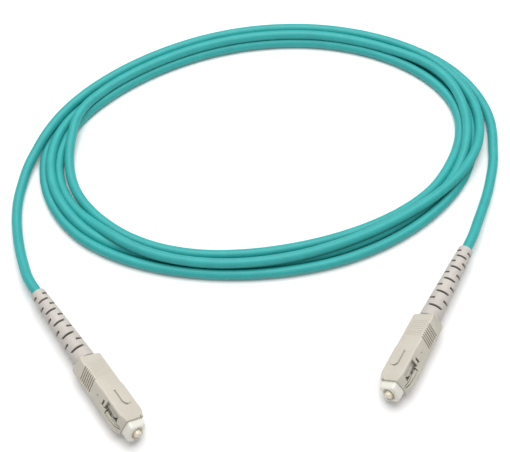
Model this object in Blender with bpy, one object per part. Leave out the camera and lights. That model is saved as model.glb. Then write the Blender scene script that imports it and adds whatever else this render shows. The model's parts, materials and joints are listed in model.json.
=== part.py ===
"""Simplex fibre optic patch cord: two push-pull connectors on a coiled 3.5 mm cord.

Sizes are in millimetres and meshes are built in metres.  Each connector is modelled along its own
+X axis, with x = 0 at the rear face of its grip, +Z on its key side, and the ferrule on the axis.
An empty then lays it on the surface, turned about its axis and headed the way it points.
"""
import bpy
import bmesh
from math import cos, pi, radians, sin
from mathutils import Matrix, Vector

MM = 0.001

# Cord and its lay on the surface
CORD_D = 3.5
COIL_CENTRE = (3.9, 81.14)
COIL_SEMI_AXES = (76.8, 50.7)       # middle line of the bundle
COIL_TILT = radians(11.4)
COIL_WIDTH = 14.0                   # four turns side by side
COIL_HEIGHT = 7.0                   # two layers
COIL_CORNER = 1.4
COIL_STATIONS = 72
LEAD_STEP = 7.0                     # spacing of a lead's points
FACE_GAP = 0.3                      # between meshes that touch

# Where each connector lies: rear of the grip, heading, and turn about its own axis
CONNECTORS = {
    "a": {"rear": (-54.27, -8.21), "heading": -53.9, "roll": -34.8},
    "b": {"rear": (57.17, 6.55), "heading": -119.2, "roll": 40.5},
}
# Route of each lead from its boot to the coil: x, y, height of the centre line
LEAD_ROUTES = {
    "a": [(-78, 26.54, 4.0), (-82, 39.34, 2.5), (-83.9, 52.44, 1.8), (-83.8, 63.44, 1.8)],
    "b": [(77.4, 44.64, 4.0), (82.5, 57.44, 2.5), (85.6, 67.94, 1.8), (86.9, 74.94, 1.8)],
}

# Grip: the outer push-pull housing
GRIP_L = 27.0
GRIP_FRONT = (8.85, 7.25)             # width, height
GRIP_REAR = (8.7, 6.6)
GRIP_STEP = (12.7, 14.5)            # ramp from the rear section up to the front one
GRIP_CHAMFER = 0.6
GRIP_TAPER = 2.7                    # length of the side lead-in at the front end
GRIP_END_WIDTH = 6.9
CAVITY = (6.2, 5.7)
CAVITY_START = 13.1
REAR_BORE_D = 5.2
WINDOW_X = (17.9, 24.6)
WINDOW_Z = (-0.4, 2.6)
LATCH_SLOT_X = (19.0, 26.3)         # frees the lower edge of a latch arm under the window
LATCH_SLOT_Z = (-2.05, -1.7)
LATCH_POCKET_X = (19.0, 19.5)       # frees its rear end
LATCH_POCKET_Z = (-2.05, -0.3)
REAR_SLIT_X = (16.2, 16.9)
REAR_SLIT_Z = (-0.6, 1.4)
GROOVES = 7
GROOVE_START = 3.7
GROOVE_PITCH = 0.87
GROOVE_SIZE = (0.35, 0.3)           # along the grip, into its side
KEY_X = (15.3, 21.3)
KEY_Y = (-0.45, 2.9)
KEY_H = 0.4
KEY_SINK = 0.3

# Plug frame and what it holds
FRAME_SIZE = (6.0, 5.5)
FRAME_CHAMFER = 1.0
FRAME_X = (15.6, 30.2)
BARREL_D = 4.5
BARREL_X = 9.2
SPRING_BORE_D = 3.9
SHOULDER_X = 20.8
FERRULE_BORE_D = 2.9
MOUTH_D = 4.2
MOUTH_DEPTH = 1.6
FRAME_RECESS_X = (17.8, 24.9)
FRAME_RECESS_Z = (-0.1, 1.6)
FRAME_RECESS_DEPTH = 0.45

FERRULE_D = 2.5
FERRULE_X = (19.3, 31.2)
FERRULE_CHAMFER = 0.35
FERRULE_HOLE_D = 0.3
FIBER_D = 0.125
BUFFER_D = 0.9
BUFFER_X = (-29.5, 19.0)
FLANGE_D = 3.5
FLANGE_X = (17.2, 20.5)
FLANGE_SOCKET_X = 19.2
FLANGE_HOLE_D = 1.2
GUIDE_D = (1.9, 1.2)                # outside, inside
GUIDE_X = (10.0, 16.9)
SPRING_D = 3.0                      # mean
SPRING_WIRE_D = 0.45
SPRING_X = (12.6, 16.9)
SPRING_TURNS = 4.5
SPRING_POINTS_PER_TURN = 12

CRIMP_BODY_X = (2.6, 7.9, 8.9, 12.3)     # rear spigot, collar, front spigot, end
CRIMP_BODY_D = (3.0, 4.5, 3.6)
CRIMP_BODY_BORE_D = 2.2
YARN_X = (2.5, 7.4)
YARN_D = (3.6, 3.1)
RING_X = (-2.6, 2.3, 3.1, 7.6)           # rear end, inner step, outer step, front end
RING_REAR_D = (4.4, 3.6)
RING_FRONT_D = (4.7, 3.7)
JACKET_X = (-30.8, 2.0)
JACKET_BORE_D = 1.3

# Boot: tapered sleeve with slots cut in turn top-and-bottom and left-and-right
BOOT_X = (-30.7, -0.3)
BOOT_D = (5.0, 7.1)                 # cord end, grip end
BOOT_BORE_D = 3.7
BOOT_SEAT_D = 4.6
BOOT_SEAT_X = -3.0
BOOT_TURN = 42.0                    # its slots are turned from the key towards the outer side
SLOT_PAIRS = 5
SLOT_FIRST = 4.75
SLOT_PITCH = 4.75
SLOT_PITCH_GROWTH = 0.18
SLOT_W = 1.0
SLOT_EDGE = 0.06                    # how far a slot's wall leans
SLOT_FLOOR_D = 4.2
SLOT_HALF_ANGLE = {"top": 45.0, "side": 60.0}

ROUND_SIDES = 24
SMALL_SIDES = 16
FIBER_SIDES = 8

AQUA = ("aqua_jacket", (0.045, 0.40, 0.38), 0.45, 0.0)
PUTTY = ("putty_plastic", (0.66, 0.61, 0.50), 0.5, 0.0)
WHITE = ("white_plastic", (0.82, 0.82, 0.76), 0.4, 0.0)
CERAMIC = ("zirconia", (0.84, 0.79, 0.66), 0.2, 0.0)
BOOT_GREY = ("boot_rubber", (0.70, 0.66, 0.63), 0.6, 0.0)
NICKEL = ("nickel", (0.62, 0.60, 0.56), 0.3, 1.0)
STEEL = ("spring_steel", (0.55, 0.55, 0.56), 0.3, 1.0)
CLEAR_TUBE = ("ptfe_tube", (0.85, 0.86, 0.86), 0.5, 0.0)
BUFFER_AQUA = ("buffer_aqua", (0.08, 0.47, 0.47), 0.5, 0.0)
YARN = ("aramid_yellow", (0.78, 0.58, 0.10), 0.8, 0.0)
GLASS = ("silica", (0.80, 0.84, 0.88), 0.1, 0.0)


# ---------------------------------------------------------------- helpers

def material(look):
    """The look's Principled material, made once."""
    name, colour, roughness, metallic = look
    found = bpy.data.materials.get(name)
    if found:
        return found
    made = bpy.data.materials.new(name)
    made.use_nodes = True
    shader = made.node_tree.nodes["Principled BSDF"]
    shader.inputs["Base Color"].default_value = (*colour, 1.0)
    shader.inputs["Roughness"].default_value = roughness
    shader.inputs["Metallic"].default_value = metallic
    return made


def add_object(name, data, look, parent=None):
    obj = bpy.data.objects.new(name, data)
    bpy.context.scene.collection.objects.link(obj)
    obj.parent = parent
    data.materials.append(material(look))
    return obj


def to_mesh(bm, name, smooth_angle=None):
    """Scale a bmesh from millimetres to metres, face it outward, and make a mesh of it."""
    bmesh.ops.recalc_face_normals(bm, faces=bm.faces)
    bm.transform(Matrix.Scale(MM, 4))
    mesh = bpy.data.meshes.new(name)
    bm.to_mesh(mesh)
    bm.free()
    if smooth_angle:
        mesh.shade_smooth()
        mesh.set_sharp_from_angle(angle=radians(smooth_angle))
    return mesh


def ring_of(bm, x, radius, sides):
    if radius == 0:
        return [bm.verts.new((x, 0, 0))]
    return [bm.verts.new((x, radius * cos(2 * pi * k / sides), radius * sin(2 * pi * k / sides)))
            for k in range(sides)]


def bridge(bm, near, far):
    """Faces between two closed rings, either of which may be a single point."""
    for k in range(max(len(near), len(far))):
        loop = [near[k % len(near)], near[(k + 1) % len(near)], far[(k + 1) % len(far)], far[k % len(far)]]
        bm.faces.new(list(dict.fromkeys(loop)))


def turned(name, outline, sides=ROUND_SIDES):
    """Turn an outline of (x, diameter) about X; off the axis, the outline closes on itself."""
    bm = bmesh.new()
    rings = [ring_of(bm, x, diameter / 2, sides) for x, diameter in outline]
    for near, far in zip(rings, rings[1:]):
        bridge(bm, near, far)
    if outline[0][1] > 0:
        bridge(bm, rings[-1], rings[0])
    return to_mesh(bm, name, smooth_angle=40)


def tube(name, span, outside, inside, sides=ROUND_SIDES):
    start, end = span
    outline = [(start, outside), (end, outside), (end, inside), (start, inside)]
    return turned(name, outline, sides)


def rod(name, span, diameter, sides=ROUND_SIDES):
    start, end = span
    return turned(name, [(start, 0), (start, diameter), (end, diameter), (end, 0)], sides)


def chamfered_section(bm, x, width, height, chamfer):
    w, h, c = width / 2, height / 2, chamfer
    right = [(w - c, h), (w, h - c), (w, c - h), (w - c, -h)]
    corners = right + [(-y, -z) for y, z in right]
    return [bm.verts.new((x, y, z)) for y, z in corners]


def lofted(name, sections):
    """A closed body through chamfered rectangles: (x, width, height, chamfer) each."""
    bm = bmesh.new()
    rings = [chamfered_section(bm, *section) for section in sections]
    for near, far in zip(rings, rings[1:]):
        bridge(bm, near, far)
    bm.faces.new(rings[0])
    bm.faces.new(rings[-1])
    return to_mesh(bm, name)


def box(name, x, y, z):
    """A box between two corners, each axis given as (low, high)."""
    bm = bmesh.new()
    bmesh.ops.create_cube(bm, size=1)
    for vert in bm.verts:
        vert.co = [low if co < 0 else high for co, (low, high) in zip(vert.co, (x, y, z))]
    return to_mesh(bm, name)


def cut(obj, meshes, operation="DIFFERENCE"):
    """Join the meshes into one tool and apply it to the object as a Boolean modifier."""
    for number, mesh in enumerate(meshes):
        tool = bpy.data.objects.new(f"tool_{obj.name}_{operation.lower()}_{number}", mesh)
        bpy.context.scene.collection.objects.link(tool)
        tool.parent = obj
        tool.hide_render = True
        tool.display_type = "WIRE"
        modifier = obj.modifiers.new(tool.name, "BOOLEAN")
        modifier.operation = operation
        modifier.solver = "EXACT"
        modifier.object = tool


# ---------------------------------------------------------------- connector pieces

def grip_mesh(name):
    front_w, front_h = GRIP_FRONT
    rear_w, rear_h = GRIP_REAR
    ramp_start, ramp_end = GRIP_STEP
    return lofted(name, [
        (0.0, rear_w - 1.0, rear_h - 0.6, 0.9),
        (0.9, rear_w, rear_h, 0.7),
        (ramp_start, rear_w, rear_h, GRIP_CHAMFER),
        (ramp_end, front_w, front_h, GRIP_CHAMFER),
        (GRIP_L - GRIP_TAPER, front_w, front_h, GRIP_CHAMFER),
        (GRIP_L, GRIP_END_WIDTH, front_h - 0.2, GRIP_CHAMFER),
    ])


def key_mesh(name):
    """Raised key on the top face, its front end rounded."""
    start, end = KEY_X
    low, high = KEY_Y
    base = GRIP_FRONT[1] / 2 - KEY_SINK
    radius = (high - low) / 2
    middle = (high + low) / 2
    arc = [(end - radius + radius * cos(turn), middle + radius * sin(turn))
           for turn in (radians(-90 + 22.5 * k) for k in range(9))]
    outline = [(start, high), (start, low)] + arc
    bm = bmesh.new()
    rings = [[bm.verts.new((x, y, z)) for x, y in outline] for z in (base, base + KEY_SINK + KEY_H)]
    bridge(bm, *rings)
    for ring in rings:
        bm.faces.new(ring)
    return to_mesh(bm, name)


def both_sides(name, x, depth, z, half_width):
    """Two boxes that cut into the left and right faces to the given depth."""
    outer = half_width + 1.0
    return [box(f"{name}_{side}", x, tuple(sorted((side * (half_width - depth), side * outer))), z)
            for side in (-1, 1)]


def make_grip(suffix, frame, outer_side):
    """The outer housing: windows and latch slots in both sides, grooves, key and a stepped bore."""
    grip = add_object(f"grip_housing_{suffix}", grip_mesh("grip"), PUTTY, frame)
    key = key_mesh("key")
    key.transform(Matrix.Scale(-outer_side, 4, (0, 1, 0)))
    if outer_side > 0:
        key.flip_normals()
    cut(grip, [key], "UNION")
    front_half = GRIP_FRONT[0] / 2
    wall = front_half - CAVITY[0] / 2 + 0.5
    tools = [
        lofted("cavity", [(CAVITY_START, *CAVITY, 1.0), (GRIP_L + 1, *CAVITY, 1.0)]),
        rod("rear_bore", (-1.0, CAVITY_START + 0.5), REAR_BORE_D),
    ]
    tools += both_sides("window", WINDOW_X, wall, WINDOW_Z, front_half)
    tools += both_sides("latch_slot", LATCH_SLOT_X, wall, LATCH_SLOT_Z, front_half)
    tools += both_sides("latch_pocket", LATCH_POCKET_X, wall, LATCH_POCKET_Z, front_half)
    tools += both_sides("rear_slit", REAR_SLIT_X, wall, REAR_SLIT_Z, front_half)
    length, depth = GROOVE_SIZE
    height = GRIP_REAR[1] / 2 + 1
    for k in range(GROOVES):
        start = GROOVE_START + k * GROOVE_PITCH
        span = (start, start + length)
        tools += both_sides(f"groove_{k}", span, depth, (-height, height), GRIP_REAR[0] / 2)
    cut(grip, tools)
    return grip


def make_plug_frame(suffix, frame):
    """Inner housing: a chamfered block on a barrel, bored for the flange, spring and ferrule."""
    start, end = FRAME_X
    block = lofted("frame_block", [
        (start, *FRAME_SIZE, FRAME_CHAMFER),
        (end - 0.4, *FRAME_SIZE, FRAME_CHAMFER),
        (end, FRAME_SIZE[0] - 0.6, FRAME_SIZE[1] - 0.6, FRAME_CHAMFER - 0.1),
    ])
    plug = add_object(f"plug_frame_{suffix}", block, WHITE, frame)
    cut(plug, [rod("barrel", (BARREL_X, start + 0.5), BARREL_D)], "UNION")
    bore = turned("frame_bore", [
        (BARREL_X - 1, 0), (BARREL_X - 1, SPRING_BORE_D), (SHOULDER_X, SPRING_BORE_D),
        (SHOULDER_X, FERRULE_BORE_D), (end - MOUTH_DEPTH, FERRULE_BORE_D),
        (end - MOUTH_DEPTH, MOUTH_D), (end + 1, MOUTH_D), (end + 1, 0),
    ])
    recesses = both_sides("recess", FRAME_RECESS_X, FRAME_RECESS_DEPTH, FRAME_RECESS_Z, FRAME_SIZE[0] / 2)
    cut(plug, [bore] + recesses)
    return plug


def make_ferrule_group(suffix, frame):
    """The floating core: ferrule, flange, guide tube, buffered fibre and bare fibre."""
    rear, tip = FERRULE_X
    ferrule = turned("ferrule", [
        (rear, FERRULE_D - FERRULE_CHAMFER), (rear + FERRULE_CHAMFER, FERRULE_D),
        (tip - FERRULE_CHAMFER, FERRULE_D), (tip, FERRULE_D - 2 * FERRULE_CHAMFER),
        (tip, FERRULE_HOLE_D), (rear, FERRULE_HOLE_D),
    ])
    start, end = FLANGE_X
    flange = turned("flange", [
        (start, FLANGE_D), (end, FLANGE_D), (end, FERRULE_D + 0.1), (FLANGE_SOCKET_X, FERRULE_D + 0.1),
        (FLANGE_SOCKET_X, FLANGE_HOLE_D), (start, FLANGE_HOLE_D),
    ])
    add_object(f"ferrule_{suffix}", ferrule, CERAMIC, frame)
    add_object(f"ferrule_flange_{suffix}", flange, NICKEL, frame)
    add_object(f"guide_tube_{suffix}", tube("guide", GUIDE_X, *GUIDE_D, SMALL_SIDES), CLEAR_TUBE, frame)
    add_object(f"buffer_{suffix}", rod("buffer", BUFFER_X, BUFFER_D, SMALL_SIDES), BUFFER_AQUA, frame)
    fiber_span = (BUFFER_X[1] + 0.1, tip - 0.02)
    add_object(f"fiber_{suffix}", rod("fiber", fiber_span, FIBER_D, FIBER_SIDES), GLASS, frame)


def make_spring(suffix, frame):
    """Helical compression spring around the guide tube."""
    start = SPRING_X[0] + SPRING_WIRE_D / 2
    end = SPRING_X[1] - SPRING_WIRE_D / 2
    steps = int(SPRING_TURNS * SPRING_POINTS_PER_TURN)
    points = []
    for k in range(steps + 1):
        turn = 2 * pi * k / SPRING_POINTS_PER_TURN
        along = start + (end - start) * k / steps
        points.append(Vector((along, SPRING_D / 2 * cos(turn), SPRING_D / 2 * sin(turn))))
    wire_curve(f"spring_{suffix}", points, SPRING_WIRE_D, 1, STEEL, frame)


def make_crimp_group(suffix, frame):
    """Stop body, the aramid yarn folded over its spigot, and the crimp ring over both."""
    rear, collar, spigot, front = CRIMP_BODY_X
    rear_d, collar_d, front_d = CRIMP_BODY_D
    body = turned("crimp_body", [
        (rear, rear_d), (collar, rear_d), (collar, collar_d), (spigot, collar_d), (spigot, front_d),
        (front, front_d), (front, CRIMP_BODY_BORE_D), (rear, CRIMP_BODY_BORE_D),
    ])
    rear, inner_step, outer_step, front = RING_X
    ring = turned("crimp_ring", [
        (rear, RING_REAR_D[0]), (inner_step, RING_REAR_D[0]), (outer_step, RING_FRONT_D[0]),
        (front, RING_FRONT_D[0]), (front, RING_FRONT_D[1]), (inner_step, RING_FRONT_D[1]),
        (inner_step, RING_REAR_D[1]), (rear, RING_REAR_D[1]),
    ])
    add_object(f"crimp_body_{suffix}", body, NICKEL, frame)
    add_object(f"aramid_yarn_{suffix}", tube("yarn", YARN_X, *YARN_D), YARN, frame)
    add_object(f"crimp_ring_{suffix}", ring, NICKEL, frame)
    jacket = tube("jacket", JACKET_X, CORD_D, JACKET_BORE_D)
    add_object(f"jacket_end_{suffix}", jacket, AQUA, frame)


def slot_middle(step):
    """Distance of a slot from the boot's cord end; whole steps are top slots, half steps side slots."""
    return SLOT_FIRST + SLOT_PITCH * step + SLOT_PITCH_GROWTH * step * step


def boot_outer_radius(x):
    start, end = BOOT_X
    share = min(1.0, (x - start) / (end - start - 1.5))
    return (BOOT_D[0] + (BOOT_D[1] - BOOT_D[0]) * share) / 2


def in_slot(kind, angle):
    """Whether an angle in degrees lies in one of the two sectors that a slot of this kind takes."""
    middle = 90.0 if kind == "top" else 0.0
    away = abs((angle - middle + 90.0) % 180.0 - 90.0)
    return away < SLOT_HALF_ANGLE[kind]


def make_boot(suffix, frame, outer_side):
    """Strain relief sleeve, turned as rings that drop to the slot floor inside each slot."""
    start, end = BOOT_X
    stations = [(start, None, 0.25), (start + 0.3, None, 0.0)]
    for half_step in range(2 * SLOT_PAIRS):
        kind = "top" if half_step % 2 else "side"
        middle = start + slot_middle(half_step / 2 - 0.5)
        half = SLOT_W / 2
        for offset, slotted in ((-half - SLOT_EDGE, None), (-half + SLOT_EDGE, kind),
                                (half - SLOT_EDGE, kind), (half + SLOT_EDGE, None)):
            stations.append((middle + offset, slotted, 0.0))
    stations += [(end - 0.5, None, 0.0), (end, None, 0.3)]
    bm = bmesh.new()
    turn = radians(BOOT_TURN) * outer_side
    rings = []
    for x, kind, inset in stations:
        ring = []
        for k in range(ROUND_SIDES):
            angle = 360.0 * k / ROUND_SIDES
            radius = boot_outer_radius(x) - inset
            if kind and in_slot(kind, angle):
                radius = SLOT_FLOOR_D / 2
            turned_angle = radians(angle) - turn
            ring.append(bm.verts.new((x, radius * cos(turned_angle), radius * sin(turned_angle))))
        rings.append(ring)
    bore = [(end, BOOT_SEAT_D), (BOOT_SEAT_X, BOOT_SEAT_D), (BOOT_SEAT_X, BOOT_BORE_D), (start, BOOT_BORE_D)]
    rings += [ring_of(bm, x, diameter / 2, ROUND_SIDES) for x, diameter in bore]
    for near, far in zip(rings, rings[1:] + rings[:1]):
        bridge(bm, near, far)
    add_object(f"boot_{suffix}", to_mesh(bm, "boot", smooth_angle=35), BOOT_GREY, frame)


def rest_height(roll):
    """Height of the axis when the turned grip rests on the edge of its front section."""
    w, h = GRIP_FRONT[0] / 2, GRIP_FRONT[1] / 2
    lean = abs(radians(roll))
    corners = [(w - GRIP_CHAMFER, h), (w, h - GRIP_CHAMFER)]
    return max(y * sin(lean) + z * cos(lean) for y, z in corners)


def make_connector(suffix, rear, heading, roll):
    frame = bpy.data.objects.new(f"connector_{suffix}", None)
    bpy.context.scene.collection.objects.link(frame)
    frame.location = Vector((*rear, rest_height(roll))) * MM
    frame.rotation_euler = (radians(roll), 0, radians(heading))
    outer_side = 1 if roll > 0 else -1      # the side of the connector that its roll turns up
    make_grip(suffix, frame, outer_side)
    make_plug_frame(suffix, frame)
    make_ferrule_group(suffix, frame)
    make_spring(suffix, frame)
    make_crimp_group(suffix, frame)
    make_boot(suffix, frame, outer_side)
    return frame


# ---------------------------------------------------------------- cord

def wire_curve(name, points, diameter, resolution, look, parent=None):
    """A round solid along the points, in millimetres, with filled ends."""
    curve = bpy.data.curves.new(name, "CURVE")
    curve.dimensions = "3D"
    curve.bevel_depth = diameter / 2 * MM
    curve.bevel_resolution = resolution
    curve.use_fill_caps = True
    spline = curve.splines.new("POLY")
    spline.points.add(len(points) - 1)
    for spline_point, point in zip(spline.points, points):
        spline_point.co = (*(point * MM), 1.0)
    return add_object(name, curve, look, parent)


def smooth_points(route, lead_in, step):
    """Points a step apart along the Catmull-Rom curve that comes from lead_in and follows the route."""
    knots = [lead_in] + route + [2 * route[-1] - route[-2]]
    points = [route[0]]
    for before, start, end, after in zip(knots, knots[1:], knots[2:], knots[3:]):
        count = max(1, round((end - start).length / step))
        for k in range(1, count + 1):
            t = k / count
            linear = (end - before) * t
            square = (2 * before - 5 * start + 4 * end - after) * t ** 2
            cube = (3 * start - before - 3 * end + after) * t ** 3
            points.append((2 * start + linear + square + cube) / 2)
    return points


def make_lead(suffix, rear, heading, roll):
    """The stretch of cord from the end of the boot to the side of the coil."""
    axis = Vector((cos(radians(heading)), sin(radians(heading)), 0))
    origin = Vector((*rear, rest_height(roll)))
    start = origin + axis * (JACKET_X[0] - FACE_GAP)
    route = [start] + [Vector(point) for point in LEAD_ROUTES[suffix]]
    points = smooth_points(route, start + axis * LEAD_STEP, LEAD_STEP)
    wire_curve(f"cable_lead_{suffix}", points, CORD_D, 2, AQUA)


def make_coil():
    """The outer shape of the coiled turns: a rounded band swept along a tilted ellipse."""
    a, b = COIL_SEMI_AXES
    half, top, corner = COIL_WIDTH / 2, COIL_HEIGHT, COIL_CORNER
    section = [(half - corner, 0), (half, corner), (half, top - corner), (half - corner, top),
               (corner - half, top), (-half, top - corner), (-half, corner), (corner - half, 0)]
    bm = bmesh.new()
    rings = []
    for k in range(COIL_STATIONS):
        angle = 2 * pi * k / COIL_STATIONS
        middle = Vector((a * cos(angle), b * sin(angle), 0))
        outward = Vector((b * cos(angle), a * sin(angle), 0)).normalized()
        rings.append([bm.verts.new(middle + outward * across + Vector((0, 0, height)))
                      for across, height in section])
    for near, far in zip(rings, rings[1:] + rings[:1]):
        bridge(bm, near, far)
    coil = add_object("cable_coil", to_mesh(bm, "coil", smooth_angle=50), AQUA)
    coil.location = Vector((*COIL_CENTRE, 0)) * MM
    coil.rotation_euler = (0, 0, COIL_TILT)


def main():
    for obj in list(bpy.data.objects):
        bpy.data.objects.remove(obj)
    for suffix, place in CONNECTORS.items():
        make_connector(suffix, **place)
        make_lead(suffix, **place)
    make_coil()


main()
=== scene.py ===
import json
from math import cos, pi, radians, sin

import bmesh
import bpy
import numpy as np
from mathutils import Matrix, Vector


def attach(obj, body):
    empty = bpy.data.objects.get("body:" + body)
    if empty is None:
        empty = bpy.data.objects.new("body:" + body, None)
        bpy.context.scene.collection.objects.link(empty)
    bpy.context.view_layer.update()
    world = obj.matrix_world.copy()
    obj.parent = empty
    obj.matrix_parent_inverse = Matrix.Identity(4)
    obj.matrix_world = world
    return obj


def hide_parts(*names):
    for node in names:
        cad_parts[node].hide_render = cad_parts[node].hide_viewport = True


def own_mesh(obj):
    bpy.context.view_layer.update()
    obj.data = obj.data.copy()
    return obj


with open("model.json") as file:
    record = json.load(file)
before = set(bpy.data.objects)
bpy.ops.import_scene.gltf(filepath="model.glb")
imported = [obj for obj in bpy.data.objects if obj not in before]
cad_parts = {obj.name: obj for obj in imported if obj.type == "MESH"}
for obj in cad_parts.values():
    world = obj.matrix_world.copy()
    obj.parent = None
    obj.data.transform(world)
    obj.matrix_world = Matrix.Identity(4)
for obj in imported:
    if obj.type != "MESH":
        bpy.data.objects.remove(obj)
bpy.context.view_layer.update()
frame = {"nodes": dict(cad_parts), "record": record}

# Lengths are in millimetres and are scaled to metres when a mesh or curve is made.
MM = 0.001

# Camera, looking down at the cord
LENS = 76.235
SENSOR_WIDTH = 36
LOOK_AT = Vector((0.1, 46.17, 0.0))
LOOK_DISTANCE = 380.0
LOOK_ELEVATION = 58.0

# Cord, repeated from the CAD
CORD_D = 3.5
GROUND = CORD_D / 2
COIL_CENTRE = (3.9, 81.14)
COIL_SEMI_AXES = (76.8, 50.7)
COIL_TILT = radians(11.4)
COIL_ANGLE_STEP = 12.0              # between the points taken from the table below
LEAD_A = [(-78, 26.54, 4.0), (-82, 39.34, 2.5), (-83.9, 52.44, 1.8), (-82.9, 64.0, 2.2)]
LEAD_B = [(86.9, 74.94, 1.8), (85.6, 67.94, 1.8), (82.5, 57.44, 2.5), (77.4, 44.64, 4.0)]
LEAD_STRAIGHT = (0.1, 4.5)          # behind a boot, where the straight part starts and ends

# The coil, turn by turn: angle round the ellipse, distance outside its middle line, and height
# of the cord's centre
TURNS = [
    [(173, 8.6, 3.5), (169, 7.1, 4.3), (165, 5.8, 4.9), (160, 4.3, 5.2), (150, 2.6, 4.9),
     (135, 1.5, 4.7), (120, 0.9, 4.7), (90, 1.1, 4.7), (60, 1.5, 4.7), (45, 1.8, 4.7),
     (30, 2.5, 4.4), (15, 2.7, 4.2), (0, 3.0, 4.2), (-15, 2.8, 4.6), (-30, 2.0, 5.0),
     (-45, 0.6, 5.1), (-60, -0.4, 4.9), (-75, -0.3, 5.0), (-90, 0.4, 5.1), (-105, 1.0, 5.2),
     (-120, 1.4, 5.1), (-135, 1.3, 4.6), (-150, -0.3, 2.8), (-165, -0.7, 1.75)],
    [(180, -0.7, 1.75), (165, -1.0, 1.75), (150, -1.8, 1.75), (135, -3.0, 1.75),
     (120, -3.5, 1.75), (90, -3.3, 1.75), (60, -3.6, 1.75), (45, -4.1, 1.75), (30, -4.2, 1.75),
     (15, -3.9, 1.75), (0, -3.5, 1.75), (-15, -3.8, 1.75), (-30, -3.9, 1.75),
     (-45, -3.3, 1.75), (-60, -3.9, 1.75), (-75, -4.6, 1.75), (-90, -4.8, 1.75),
     (-105, -4.4, 1.75), (-120, -3.8, 1.75), (-135, -4.1, 1.75), (-150, -5.0, 1.75),
     (-165, -5.3, 1.75)],
    [(180, -5.05, 1.75), (172, -4.7, 2.8), (165, -4.2, 3.8), (157, -2.9, 5.1), (150, -1.4, 5.2),
     (142, -1.0, 4.9), (135, -1.3, 4.8), (120, -1.9, 4.8), (90, -1.7, 4.8), (60, -1.9, 4.8),
     (45, -2.1, 4.8), (30, -0.9, 4.9), (15, -0.6, 5.2), (0, -1.4, 4.8), (-15, -1.3, 4.3),
     (-30, -0.6, 2.9), (-45, 0.05, 1.75), (-60, 0.2, 1.75), (-75, 0.4, 1.75), (-90, 0.3, 1.75),
     (-105, 0.0, 1.75), (-120, 0.0, 1.75), (-135, 0.5, 1.75), (-150, 1.9, 3.0),
     (-165, 1.9, 4.2)],
    [(180, 1.8, 4.27), (165, 1.6, 4.2), (150, 1.2, 3.2), (135, 0.3, 1.75), (120, -0.2, 1.75),
     (90, 0.0, 1.75), (60, -0.2, 1.75), (45, -0.5, 1.75), (30, 0.2, 1.75), (15, -0.1, 1.75),
     (0, 0.1, 1.75), (-15, 1.2, 1.75), (-30, 2.7, 1.75), (-45, 3.5, 1.75), (-60, 4.1, 1.75),
     (-75, 4.4, 1.75), (-90, 4.0, 1.75), (-105, 3.6, 1.75), (-120, 3.6, 1.75),
     (-135, 4.1, 1.75), (-150, 4.7, 1.75), (-165, 4.5, 1.75)],
    [(180, 4.2, 1.75), (165, 4.2, 1.75), (150, 4.4, 1.75), (135, 3.6, 1.75), (120, 3.1, 1.75),
     (90, 3.3, 1.75), (60, 3.2, 1.75), (45, 3.5, 1.75), (30, 4.7, 1.75), (15, 5.9, 1.75),
     (5, 6.8, 1.75), (-5, 7.8, 1.75), (-12, 8.4, 1.75)],
]
FINE_STEP = 0.5                     # spacing of the points on the route's spline
CORD_STEP = 7.0                     # spacing of the finished curve's points
CORD_RING_RESOLUTION = 6
CORD_LINE_RESOLUTION = 8

# How the cord settles
SETTLE_STEP = 1.4                   # spacing of the points while the cord settles
SETTLE_ROUNDS = 160
LEVEL_ROUNDS = 40                   # the last rounds, in which the turns no longer sink
SINK = 0.008                        # how far each round lets the turns sink
HELD_POINTS = 30.0                  # over so many points, each end goes from fixed to free
CONTACT = 3.3                       # between the centres of turns that press on each other
SEARCH_ROUNDS = 8                   # from one search for touching turns to the next
SEARCH_MARGIN = 1.5                 # how far beyond a diameter the search looks
SEARCH_APART = 12                   # fewest points along the cord between two that touch
PUSHES = 2                          # in each round
PUSH = 0.6                          # part of an overlap that one push clears
UPPER_SHARE = 0.42                  # how much more than half of a push the higher turn takes
UPPER_REACH = 1.5                   # difference in height at which it takes all of that
LONGEST_PUSH = 0.4
SMOOTH_WIDTH = 2.5                  # in points
SMOOTH_SHARE = 0.5                  # part of each shift that is smoothed while the turns sink
LEVEL_SMOOTH_SHARE = 0.25           # and afterwards

# Connectors, repeated from the CAD
CONNECTORS = {
    "a": {"rear": (-54.27, -8.21), "heading": -53.9, "roll": -34.8},
    "b": {"rear": (57.17, 6.55), "heading": -119.2, "roll": 40.5},
}
GRIP_FRONT = (8.85, 7.25)
GRIP_CHAMFER = 0.6
BOOT_X = (-30.7, -0.1)

# Mesh making
TURNED_SIDES = 64
CORNER_POINTS = 5                   # in each rounded corner
OVAL_POINTS = 16
OVERCUT = 1.0                       # how far a cutting block reaches out of the piece it cuts
BEVEL_ANGLE = 38.0
SHARP_ANGLE = 32
BOOT_SHARP_ANGLE = 50

# Grip, its outside rounded and its details cut to both sides
GRIP_REAR = (8.7, 6.6)
GRIP_STATIONS = [                   # x, width, height, corner radius
    (0.0, 8.1, 6.2, 0.6), (0.12, 8.35, 6.38, 0.6), (0.5, 8.64, 6.57, 0.55), (1.0, 8.7, 6.6, 0.5),
    (12.5, 8.7, 6.6, 0.5), (12.9, 8.72, 6.66, 0.5), (14.2, 8.83, 7.2, 0.55),
    (14.7, 8.85, 7.25, 0.55), (24.1, 8.85, 7.25, 0.55), (24.7, 8.7, 7.24, 0.55),
    (26.7, 7.1, 7.15, 0.6), (27.0, 6.8, 7.0, 0.6),
]
EDGE_BEVEL = 0.09
CAVITY = (6.2, 5.7, 0.9)            # width, height, corner radius
CAVITY_X = (13.1, 28.0)
REAR_BORE_D = 5.2
REAR_BORE_X = (-1, 13.6)
FACET_ENDS = ((3.6, 1.9), (-3.6, 3.5))      # height, and how far forward the facet reaches there
FACET_X = -0.3
FACET_Y = (4.34, 4.36, 6.0)         # at the rear before its slope, at the front, and outside
FACET_SLOPE = 0.1

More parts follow.
